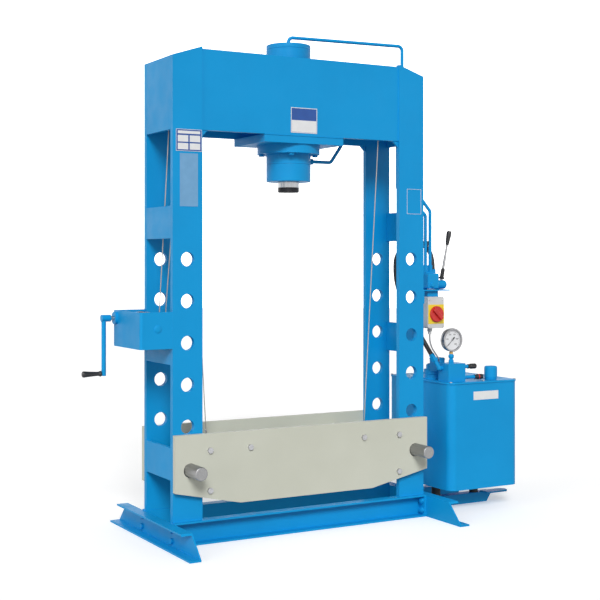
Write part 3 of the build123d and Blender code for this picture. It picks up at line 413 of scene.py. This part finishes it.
# oil tank: shell, lid and the lid's screws
tankLook = {"screwInset": 17.0, "screwRings": [(6.5, 0), (6.5, 3.2), (5.2, 4.4), (0.4, 4.4)]}
dressed("tank", 0.0, name="tankShell", angle=60.0)
dressed("tank_lid", 3.5, name="tankLid")
lidLow, lidHigh = boxOf("tank_lid")
lidTop = lidHigh[2]
leftX, frontY = lidLow[0] + tankLook["screwInset"], lidLow[1] + tankLook["screwInset"]
rightX, backY = lidHigh[0] - tankLook["screwInset"], lidHigh[1] - tankLook["screwInset"]
middleX, middleY = (leftX + rightX) / 2, (frontY + backY) // 2
screws = []
firstScrew = turned(tankLook["screwRings"], (0, 0, 0), sides=6, edge=0.4)  # copied, then deleted
for x in (leftX, middleX, rightX):
    for y in (frontY, backY):
        screws.append(shifted(firstScrew, x, y, lidTop))
for x in (leftX, rightX):
    screws.append(shifted(firstScrew, x, middleY, lidTop))
deselectAll()
firstScrew.select_set(True)
bpy.ops.object.delete()
settle(joined(screws), "tankScrews", "frame", "zinc")
print("tank done")

# blank plates where the press carries its signs
signLook = {
    "leftTextPlate": {"box": (-619, -534, 1456, 1684), "faceY": -159.0, "fill": plateSilver},
    "leftDataPlate": {
        "box": (-637, -516, 1693, 1787), "faceY": -159.0, "fill": plateNavy, "border": 1.6,
        "fields": [(-629, -524, 1768, 1780), (-629, -580, 1733, 1761), (-573, -524, 1733, 1761),
                   (-629, -580, 1700, 1727), (-573, -524, 1700, 1727)],
    },
    "headSign": {
        "box": (-72, 64, 1800, 1914), "faceY": -153.0, "fill": plateNavy, "border": 3.0,
        "fields": [(-68, 60, 1804, 1857)],
    },
    "tankBlankPlate": {"box": (916, 1068, 543, 584), "faceY": -205.0, "fill": plateWhite},
    "rightPictureFrame": {"box": (556, 637, 1444, 1563), "faceY": -159.0, "border": 1.4},
}
signStand = {"plate": 1.0, "field": 1.2, "side": 1.25, "edge": 1.3}  # how far each stands out


def signStrip(box, faceY, stand):
    return block((box[0], faceY - stand, box[2]), (box[1], faceY, box[3]), 0.0)


for name, look in signLook.items():
    left, right, low, high = look["box"]
    faceY = look["faceY"]
    if "fill" in look:
        plate = block((left, faceY - signStand["plate"], low), (right, faceY, high), 0.3)
        settle(plate, name, "frame", look["fill"])
    wide = look.get("border", 0.0)
    strips = [signStrip(field, faceY, signStand["field"]) for field in look.get("fields", [])]
    if wide:
        strips.append(signStrip((left, right, high - wide, high), faceY, signStand["edge"]))
        strips.append(signStrip((left, right, low, low + wide), faceY, signStand["edge"]))
        strips.append(signStrip((left, left + wide, low, high), faceY, signStand["side"]))
        strips.append(signStrip((right - wide, right, low, high), faceY, signStand["side"]))
    if strips:
        settle(joined(strips), name + "Lines", "frame", plateWhite)
print("blank plates done")

# control valve and its lever: body, end cap, steel rod, boot and a black knob
leverPivot = jointAt["lever"]
valveLow, valveHigh = boxOf("control_valve")
valveLook = {
    "capX": 756, "topLow": (694, -122, 1150), "topHigh": (744, -78, 1168), "plugX": 712, "plugZ": 1106,
    "plugRings": [(14, -2), (14, 3), (11, 4), (11, 8)],
    "capRings": [(17, -6), (17, 4), (22, 7), (22, 52), (20.8, 60), (16, 65.4), (9, 67.8), (0.5, 68.2)],
}
valveBody = block(valveLow, (valveLook["capX"], valveHigh[1], valveHigh[2]), 8.0, 4)
valveTop = block(valveLook["topLow"], valveLook["topHigh"], 4.0, 3)
plugPlace = (valveLook["plugX"], valveLow[1], valveLook["plugZ"])
frontPlug = turned(valveLook["plugRings"], plugPlace, (0, -1, 0), 6, 0.6)
capPlace = (valveLook["capX"], leverPivot[1], leverPivot[2])
valveCap = turned(valveLook["capRings"], capPlace, (1, 0, 0), 48, 0.5)
valveShape = joined([valveBody, valveTop, frontPlug, valveCap])
settle(valveShape, "valveShape", "frame", "blue_paint", ("control_valve",))
clampLook = {"low": (690, -101, 1293), "high": (731, -87, 1317)}
clampSlot = slotOf["pipe_clamp"]
clamp = block(clampLook["low"], clampLook["high"], 1.5)
settle(clamp, "pipeClampShape", "frame", clampSlot, ("pipe_clamp",))
leverLook = {
    "leanDeg": 11.5,
    "rodRings": [(6.4, 22.5), (6.4, 130), (5, 158), (5, 200), (4.6, 206)],
    "knobRings": [
        (6, 197), (8, 199), (9.2, 209), (11.2, 230),
        (12.6, 250), (12.4, 260), (8.6, 267.2), (0.5, 268.4),
    ],
    "bootRings": [
        (6.6, 26.5), (13, 29.2), (14, 31), (14, 35), (12.4, 37),
        (10, 38.5), (9.6, 74), (8.6, 79), (5.2, 81),
    ],
}
lean = math.radians(leverLook["leanDeg"])
leverAim = (math.sin(lean), 0, math.cos(lean))
leverRod = turned(leverLook["rodRings"], leverPivot, leverAim, 32, 0.4)
settle(leverRod, "leverRod", "lever", "pin_steel", ("valve_lever",))
leverKnob = turned(leverLook["knobRings"], leverPivot, leverAim, 40)
settle(leverKnob, "leverKnob", "lever", "black_plastic")
leverBoot = turned(leverLook["bootRings"], leverPivot, leverAim, 40)
settle(leverBoot, "leverBoot", "lever", "seal_rubber")
print("lever done")

# switch: red knob with a slanting bar across it, cover screws
switchLook = {
    "turnDeg": 45.0, "barLow": (-33, -24.6, -9), "barHigh": (33, -11.0, 9),
    "discRings": [(30, 0.6), (39, 1.2), (39, 5), (36.5, 8.5), (36.5, 11), (35.5, 12.4), (0.5, 12.4)],
    "screwX": (689, 768), "screwY": -155.2, "screwZ": (904, 1033),
    "screwRings": [(4.2, 0), (4.2, 1.2), (3.2, 2.0), (0.4, 2.0)],
}
plateY = boxOf("switch_plate")[0][1]
knobPlace = (jointAt["switch_handle"][0], plateY, jointAt["switch_handle"][2])
redDisc = turned(switchLook["discRings"], knobPlace, (0, -1, 0), 64)
handle = block(switchLook["barLow"], switchLook["barHigh"], 3.0, 3)
handle.rotation_euler = (0, math.radians(switchLook["turnDeg"]), 0)
handle.location = Vector(knobPlace) * mm
makeActive(handle)
bpy.ops.object.transform_apply(location=True, rotation=True, scale=True)
switchKnob = joined([redDisc, handle])
settle(switchKnob, "switchKnob", "switch_handle", "red_plastic", ("switch_knob",))
coverScrews = []
for x in switchLook["screwX"]:
    for z in switchLook["screwZ"]:
        screwPlace = (x, switchLook["screwY"], z)
        coverScrews.append(turned(switchLook["screwRings"], screwPlace, (0, -1, 0), 24, 0.2))
settle(joined(coverScrews), "switchScrews", "frame", "zinc")
print("switch done")

# pressure gauge: bezel, column, dial marks and pointer
gaugeLook = {
    "stemY": -145.0, "dialY": -153.0, "pointerY": -155.2,
    "numberR": 29.0, "numberSize": 9.5, "numberDepth": 0.15,
    "restDeg": 225.0, "sweepDeg": 270.0, "marks": 50, "words": ("0", "100", "200", "300", "400", "500"),
    "longMark": (36.0, 0.55), "shortMark": (40.0, 0.25), "markEnd": 45.0, "markDepth": 0.35,
    "shellRings": [
        (48, 131), (54, 131.6), (55.5, 134), (55.5, 150), (56.8, 151.5), (57, 160), (55.5, 162.4),
        (53, 163), (49.6, 162), (49, 153.4), (48, 153.4), (48, 131),
    ],
    "columnRings": [
        (12, 728), (12, 738), (8.5, 740), (8.5, 745), (11.5, 748),
        (13.4, 753), (13.6, 758), (12.4, 763), (9, 767),
    ],
    "stemRings": [(9.5, 767), (9.5, 776), (7.5, 778), (7.5, 786)],
    "pointerBars": [
        ((0, -0.7, -1.0), (40, 0, 1.0), 0.0),
        ((-18, -0.7, -3.4), (-5, 0, 3.4), 0.3),
        ((-5, -0.7, -1.3), (0, 0, 1.3), 0.0),
    ],
    "hubRings": [(4.6, 0), (4.6, 1.0), (0.5, 1.2)],
}
gaugeX, gaugeZ = jointAt["needle"][0], jointAt["needle"][2]
gaugePlace = (gaugeX, 0, gaugeZ)
columnFoot = (gaugeX, gaugeLook["stemY"], 0)
shell = turned(gaugeLook["shellRings"], gaugePlace, (0, -1, 0), 96, 0.0, True)
column = turned(gaugeLook["columnRings"], columnFoot, sides=32)
stem = turned(gaugeLook["stemRings"], columnFoot, sides=6, edge=0.6)
bezel = metalMaterial("bezelSteel", (0.42, 0.42, 0.43), (0.32, 0.32, 0.33), 0.3, 200.0, (1, 0.2, 1))
settle(shell, "gaugeShell", "frame", bezel, ("gauge_case",))
settle(column, "gaugeColumn", "frame", "blue_paint")
settle(stem, "gaugeStem", "frame", "bronze")
coat(cadNodes["gauge_dial"], "dial_white")
print("gauge shell done")
marks = []
for step in range(gaugeLook["marks"] + 1):
    turn = math.radians(gaugeLook["restDeg"] - gaugeLook["sweepDeg"] * step / gaugeLook["marks"])
    inner, half = gaugeLook["longMark"] if step % 10 == 0 else gaugeLook["shortMark"]
    mark = block((inner, -gaugeLook["markDepth"], -half), (gaugeLook["markEnd"], 0.0, half), 0.0)
    mark.rotation_euler = (0, -turn, 0)
    mark.location = Vector((gaugeX, gaugeLook["dialY"], gaugeZ)) * mm
    marks.append(mark)
for step, word in enumerate(gaugeLook["words"]):
    turn = math.radians(gaugeLook["restDeg"] - gaugeLook["sweepDeg"] * step / (len(gaugeLook["words"]) - 1))
    deselectAll()
    bpy.ops.object.text_add(rotation=(math.pi / 2, 0, 0))
    number = bpy.context.object
    number.data.body = word
    number.data.size = gaugeLook["numberSize"] * mm
    number.data.extrude = gaugeLook["numberDepth"] * mm
    number.data.align_x = "CENTER"
    number.data.align_y = "CENTER"
    number.location = Vector((
        gaugeX + gaugeLook["numberR"] * math.cos(turn), gaugeLook["dialY"] - 0.2,
        gaugeZ + gaugeLook["numberR"] * math.sin(turn),
    )) * mm
    bpy.ops.object.convert(target="MESH")
    marks.append(bpy.context.object)
for mark in marks:
    makeActive(mark)
    bpy.ops.object.transform_apply(location=True, rotation=True, scale=True)
settle(joined(marks), "gaugeMarks", "frame", inkBlack)
pointerPieces = [block(low, high, edge) for low, high, edge in gaugeLook["pointerBars"]]
pointerPieces.append(turned(gaugeLook["hubRings"], (0, 0, 0), (0, -1, 0), 32))
pointer = joined(pointerPieces)
pointer.rotation_euler = (0, -math.radians(gaugeLook["restDeg"]), 0)
pointer.location = Vector((gaugeX, gaugeLook["pointerY"], gaugeZ)) * mm
settle(pointer, "gaugePointer", "needle", "black_steel", ("gauge_needle",))
print("gauge marks done")

# power unit: pump with its terminal box, screw knobs, filler cap
pumpLook = {
    "place": (850, 20, 632), "inlet": ((828, -62, 632), (872, 20, 677)),
    "terminal": ((800, -62, 674), (850, 0, 743)), "terminalLid": ((798.5, -63.0, 733), (851.5, 1.0, 737)),
    "glandAim": (11.66, 17, -7.77),
    "rings": [
        (60, 0), (60, 6), (55, 8), (55, 24), (57, 26), (57, 48),
        (47, 50), (46, 53), (46, 67), (42, 73), (34, 76), (0.5, 76),
    ],
}
glandTip = cableLook["route"][-1]
pumpBarrel = turned(pumpLook["rings"], pumpLook["place"], (0, 0, 1), 64, 0.6)
inletBlock = block(*pumpLook["inlet"], 2.0)
terminalBox = block(*pumpLook["terminal"], 4.0, 3)
terminalLid = block(*pumpLook["terminalLid"], 1.0)
glandTube = turned([(6, 0), (6, 22)], glandTip, pumpLook["glandAim"], 24, 0.4)
glandNut = turned([(8.5, 12), (8.5, 22)], glandTip, pumpLook["glandAim"], 6, 0.5)
pump = joined([pumpBarrel, inletBlock, terminalBox, terminalLid, glandTube, glandNut])
settle(pump, "pumpUnit", "frame", "blue_paint", ("pump_body",))
knobLook = {
    "long": 50.0, "sides": 18, "redRings": [(13.05, 22), (13.2, 22.4), (13.2, 27.6), (13.05, 28)],
    "rings": [
        (4, -15), (4, 0), (9, 0.2), (11.5, 1.5), (11.5, 6), (9.5, 8), (9.5, 14), (12.6, 17),
        (13, 19), (13, 45), (11.8, 49), (9, 50), (0.5, 50),
    ],
}
for node in ("relief_knob", "shutoff_knob"):
    tipX = boxOf(node)[1][0]
    knobRoot = (tipX - knobLook["long"], jointAt[bodyOf[node]][1], jointAt[bodyOf[node]][2])
    knob = turned(knobLook["rings"], knobRoot, (1, 0, 0), knobLook["sides"], 0.4)
    settle(knob, node + "_shape", bodyOf[node], "black_plastic", (node,))
redRing = turned(knobLook["redRings"], knobRoot, (1, 0, 0), 48)  # on the lower knob
settle(redRing, "shutoffRing", "shutoff_screw", "red_plastic")
fillerLook = {
    "sides": 28,
    "rings": [
        (28, 0.3), (30, 1), (30, 9), (31.8, 12), (32, 15),
        (32, 58), (30.6, 64), (26, 67.4), (18, 68), (0.5, 67.2),
    ],
}
fillerFoot = (jointAt["filler"][0], jointAt["filler"][1], lidTop)
fillerCap = turned(fillerLook["rings"], fillerFoot, (0, 0, 1), fillerLook["sides"], 0.7)
settle(fillerCap, "fillerCap", "filler", "blue_paint", ("filler_cap",))
print("power unit done")

# crank grip, tapered with rounded ends, and the cover over the drum's shaft
gripLook = {
    "rings": [
        (6.5, 0.5), (11.5, 1), (12.6, 3), (12.4, 7), (9.6, 11), (9.4, 20),
        (10.6, 40), (12.2, 62), (13.6, 76), (13.9, 82), (12, 86.5), (7.5, 88),
    ],
    "coverRings": [(17, -1), (17, 1.4), (15.5, 2.4), (0.5, 2.4)],
}
drumX, drumZ = jointAt["drum"][0], jointAt["drum"][2]
gripRoot = (boxOf("crank_grip")[1][0], jointAt["grip"][1], jointAt["grip"][2])
grip = turned(gripLook["rings"], gripRoot, (-1, 0, 0), 40)
settle(grip, "crankGrip", "grip", "black_plastic", ("crank_grip",))
coverRoot = (drumX, boxOf("winch_housing")[0][1], drumZ)
shaftCover = turned(gripLook["coverRings"], coverRoot, (0, -1, 0), 40)
settle(shaftCover, "winchShaftCover", "frame", "blue_paint")
print("crank done")

# wire ropes: strands laid round each line, and the turns on the drum
ropeLook = {
    "strandAcross": 6, "groove": 0.42, "radius": 2.1, "pitch": 26.0, "spacing": 4.4,
    "drumLeave": 69.8, "frontDrumY": -66.0, "pulleyHalf": 50.0, "bendR": 49.9,
    "leftEyeX": -420.0, "rightEyeX": 342.0, "eyeZ": 420.0, "eyeR": 16.5, "eyeSteps": 60,
}


def ropeCorners(drumY, firstPulley, lastPulley, eyeX):
    # up from the drum, over one pulley or across two, and down to the bed's eye
    y, pulleyZ = firstPulley[1], firstPulley[2]
    half = ropeLook["pulleyHalf"]
    upX, downX = firstPulley[0] - half, lastPulley[0] + half
    return [
        (drumX + ropeLook["drumLeave"], drumY, drumZ),
        (upX, y, pulleyZ - half), (upX, y, pulleyZ + half),
        (downX, y, pulleyZ + half), (downX, y, pulleyZ - half),
        (eyeX, y, ropeLook["eyeZ"] + ropeLook["eyeR"]),
    ]


leftRope = ropeCorners(0, jointAt["left_rear_sheave"], jointAt["left_rear_sheave"], ropeLook["leftEyeX"])
rightRope = ropeCorners(
    ropeLook["frontDrumY"], jointAt["left_front_sheave"], jointAt["right_sheave"], ropeLook["rightEyeX"],
)


def easedLine(corners, bend, spacing):
    # straight runs joined by arcs round the pulleys
    corners = [Vector(corner) for corner in corners]
    line = [corners[0]]
    for before, corner, after in zip(corners, corners[1:], corners[2:]):
        back = (before - corner).normalized()
        ahead = (after - corner).normalized()
        half = back.angle(ahead) / 2
        if half > math.radians(80):
            line.append(corner)
            continue
        centre = corner + (back + ahead).normalized() * (bend / math.sin(half))
        first = corner + back * (bend / math.tan(half)) - centre
        last = corner + ahead * (bend / math.tan(half)) - centre
        steps = max(3, int(first.angle(last) * bend / spacing))
        line += [centre + first.slerp(last, step / steps) for step in range(steps + 1)]
    line.append(corners[-1])
    dense = [line[0]]
    for start, end in zip(line, line[1:]):
        pieces = max(1, round((end - start).length / spacing))
        dense += [start.lerp(end, step / pieces) for step in range(1, pieces + 1)]
    return dense


# a star-shaped section drawn along a line and turned as it goes, so its ridges read as strands
def laidRope(line, radius, pitch):
    across = ropeLook["strandAcross"]
    sides = 2 * across
    verts = []
    faces = []
    sideways = Vector((0, 1, 0))
    travelled = 0.0
    for index, point in enumerate(line):
        ahead = (line[min(index + 1, len(line) - 1)] - line[max(index - 1, 0)]).normalized()
        if index:
            travelled += (point - line[index - 1]).length
        u = (sideways - ahead * sideways.dot(ahead)).normalized()
        v = ahead.cross(u)
        for corner in range(sides):
            turn = math.pi * corner / across + 2 * math.pi * travelled / pitch
            reach = radius + (ropeLook["groove"] if corner % 2 == 0 else -ropeLook["groove"])
            verts.append((point + (u * math.cos(turn) + v * math.sin(turn)) * reach) * mm)
        if index:
            low = (index - 1) * sides
            high = low + sides
            for corner in range(sides):
                nextCorner = (corner + 1) % sides
                faces.append((low + corner, low + nextCorner, high + nextCorner, high + corner))
    last = (len(line) - 1) * sides
    faces.append(tuple(reversed(range(sides))))
    faces.append(tuple(last + corner for corner in range(sides)))
    mesh = bpy.data.meshes.new("rope")
    mesh.from_pydata(verts, [], faces)
    piece = bpy.data.objects.new("rope", mesh)
    bpy.context.scene.collection.objects.link(piece)
    makeActive(piece)
    bpy.ops.object.mode_set(mode="EDIT")
    bpy.ops.mesh.select_all(action="SELECT")
    bpy.ops.mesh.normals_make_consistent(inside=False)
    leaveEdit()
    bpy.ops.object.shade_smooth_by_angle(angle=math.radians(60))
    return piece


ropes = []
for corners in (leftRope, rightRope):
    run = easedLine(corners, ropeLook["bendR"], ropeLook["spacing"])
    ropes.append(laidRope(run, ropeLook["radius"], ropeLook["pitch"]))
    eye = Vector((corners[-1][0], corners[-1][1], ropeLook["eyeZ"]))
    eyeLine = []
    for step in range(ropeLook["eyeSteps"] + 1):
        turn = 2 * math.pi * step / ropeLook["eyeSteps"] + math.pi / 2
        eyeLine.append(eye + ropeLook["eyeR"] * Vector((math.cos(turn), 0, math.sin(turn))))
    ropes.append(laidRope(eyeLine, ropeLook["radius"], ropeLook["pitch"]))
settle(joined(ropes), "liftingRopes", "frame", "rope_wire", ("bed_ropes",))
crimps = []
for corners in (leftRope, rightRope):
    tail = (Vector(corners[-2]) - Vector(corners[-1])).normalized()
    crimps.append(turned([(3.6, 6), (4.4, 7.5), (4.4, 30), (3.6, 31.5)], corners[-1], tail, 24, 0.3))
settle(joined(crimps), "ropeFerrules", "frame", "machined")
drumLook = {"bays": (-95.0, -29.0), "inset": 3.1, "turns": 11, "radius": 64.5, "pitch": 5.02}
turns = []
for bay in drumLook["bays"]:
    line = []
    for step in range(drumLook["turns"] * 48 + 1):
        turn = 2 * math.pi * step / 48
        line.append(Vector((
            drumX + drumLook["radius"] * math.cos(turn),
            bay + drumLook["inset"] + drumLook["pitch"] * step / 48,
            drumZ + drumLook["radius"] * math.sin(turn),
        )))
    turns.append(laidRope(line, ropeLook["radius"], ropeLook["pitch"]))
settle(joined(turns), "drumTurns", "drum", "rope_wire", ("rope_windings",))
print("ropes laid")

# weld beads: one ripple repeated along each seam
beadLook = {
    "ripple": 0.8, "step": 4.2, "footR": 3.4, "headR": 2.6, "mountR": 3.0, "housingR": 2.8,
    "headLowZ": 1790.0, "tieX": (515.0, 640.0), "tieZ": 2104.0,
}
barLow, barHigh = boxOf("right_uprights")
headHigh = boxOf("head_plates")[1]
tieY = boxOf("side_plates")[1][1]
mountHigh = boxOf("cylinder_mount_plate")[1]
housingLow, housingHigh = boxOf("winch_housing")
footZ = barLow[2] + 0.5
headX, headTopZ = barLow[0] + 0.5, headHigh[2] - 1
tieInX, tieOutX = beadLook["tieX"]
tieZ = beadLook["tieZ"]
mountX, mountZ = mountHigh[0] - 1, mountHigh[2] - 1
housingX, housingY = housingHigh[0] - 1, housingLow[1] + 2
seams = []
for side in (-1, 1):
    for face in (-1, 1):
        footY = face * (barHigh[1] - 1)
        headY = face * (headHigh[1] + 0.6)
        footStart = (side * (barLow[0] + 2), footY, footZ)
        footEnd = (side * (barHigh[0] - 2), footY, footZ)
        seams.append((footStart, footEnd, beadLook["footR"]))
        headStart = (side * headX, headY, beadLook["headLowZ"])
        seams.append((headStart, (side * headX, headY, headTopZ), beadLook["headR"]))
for face in (-1, 1):
    seams.append(((-tieOutX, face * tieY, tieZ), (-tieInX, face * tieY, tieZ), beadLook["headR"]))
    seams.append(((tieInX, face * tieY, tieZ), (tieOutX, face * tieY, tieZ), beadLook["headR"]))
    mountY = face * mountHigh[1]
    seams.append(((-mountX, mountY, mountZ), (mountX, mountY, mountZ), beadLook["mountR"]))
housingStart = (housingX, housingY, housingLow[2] + 4)
housingEnd = (housingX, housingY, housingHigh[2] - 4)
seams.append((housingStart, housingEnd, beadLook["housingR"]))
beads = []
for start, end, radius in seams:
    run = Vector(end) - Vector(start)
    valley = radius * beadLook["ripple"]
    beadRings = [(valley, 0), (radius, beadLook["step"] * 0.5), (valley, beadLook["step"])]
    bead = turned(beadRings, (0, 0, 0), sides=10)
    repeat = bead.modifiers.new("ripples", "ARRAY")
    repeat.count = max(2, int(run.length / beadLook["step"]))
    repeat.use_relative_offset = False
    repeat.use_constant_offset = True
    repeat.constant_offset_displace = (0, 0, beadLook["step"] * mm)
    makeActive(bead)
    bpy.ops.object.modifier_apply(modifier=repeat.name)
    turnAlong(bead, start, run.normalized())
    beads.append(bead)
settle(joined(beads), "weldBeads", "frame", "blue_paint")
print("weld beads done")

# floor and light
floorLook = {"size": 60.0, "colour": (0.9, 0.9, 0.9), "glow": 0.30}
wallLook = {"radius": 25.0, "height": 9.0, "sunk": 0.05, "colour": (0.9, 0.9, 0.9), "glow": 1.0}
airStrength = 0.38
deselectAll()
bpy.ops.mesh.primitive_plane_add(size=floorLook["size"], location=(0, 0, 0))
floor = bpy.context.object
floor.name = "studioFloor"
floorMaterial, floorShader = startMaterial("studioFloor", floorLook["colour"], 0.0, 0.8)
floorShader.inputs["Emission Color"].default_value = (1, 1, 1, 1)
floorShader.inputs["Emission Strength"].default_value = floorLook["glow"]
floor.data.materials.append(floorMaterial)
floor.visible_diffuse = False
bpy.ops.mesh.primitive_cylinder_add(
    vertices=96, radius=wallLook["radius"], depth=wallLook["height"], end_fill_type="NOTHING",
    location=(0, 0, wallLook["height"] / 2 - wallLook["sunk"]),
)
wall = bpy.context.object
wall.name = "studioWall"
wallMaterial, wallShader = startMaterial("studioWall", wallLook["colour"], 0.0, 0.9)
wallShader.inputs["Emission Color"].default_value = (1, 1, 1, 1)
wallShader.inputs["Emission Strength"].default_value = wallLook["glow"]
wall.data.materials.append(wallMaterial)
wall.visible_diffuse = False
wall.visible_shadow = False
world = bpy.data.worlds.new("studioAir")
world.use_nodes = True
background = world.node_tree.nodes["Background"]
background.inputs["Color"].default_value = (1, 1, 1, 1)
background.inputs["Strength"].default_value = airStrength
bpy.context.scene.world = world
lampLook = {
    "keyLamp": {"from": (-0.36, -0.76, 0.55), "strength": 2.2, "softDeg": 20.0},
    "sideLamp": {"from": (-1.0, -0.2, 0.3), "strength": 0.7, "softDeg": 40.0},
}
for name, look in lampLook.items():
    lamp = bpy.data.lights.new(name, "SUN")
    lamp.energy = look["strength"]
    lamp.angle = math.radians(look["softDeg"])
    lampObject = bpy.data.objects.new(name, lamp)
    lampObject.rotation_mode = "QUATERNION"
    lampObject.rotation_quaternion = Vector(look["from"]).to_track_quat("Z", "Y")
    bpy.context.scene.collection.objects.link(lampObject)
scene = bpy.context.scene
scene.view_settings.view_transform = "Standard"
scene.view_settings.look = "None"
print("light set")

deselectAll()
